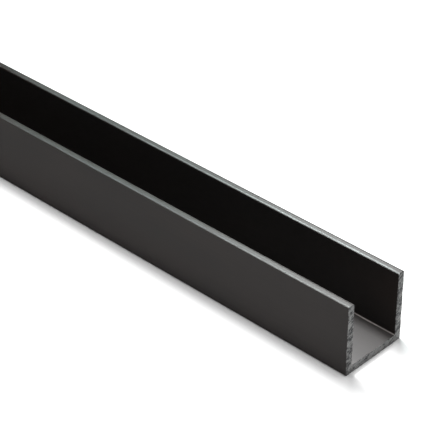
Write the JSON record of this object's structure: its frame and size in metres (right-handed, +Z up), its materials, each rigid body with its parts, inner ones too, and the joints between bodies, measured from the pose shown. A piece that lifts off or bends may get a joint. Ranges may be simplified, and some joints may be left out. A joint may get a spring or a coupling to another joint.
{
  "type": "u-channel",
  "caption": "Straight extruded channel whose flat web and two equal flanges form a groove open at the top and at both ends.",
  "frame": {"origin": "middle of the web's underside, halfway along the length", "axes": "+X along the length, +Y across the groove, +Z up out of the open side"},
  "size_m": [0.3, 0.02, 0.02],
  "materials": {
    "black_anodised_aluminium": "satin black anodised, with bare sawn ends"
  },
  "bodies": {
    "root": {"u_channel": "black_anodised_aluminium"}
  },
  "joints": []
}
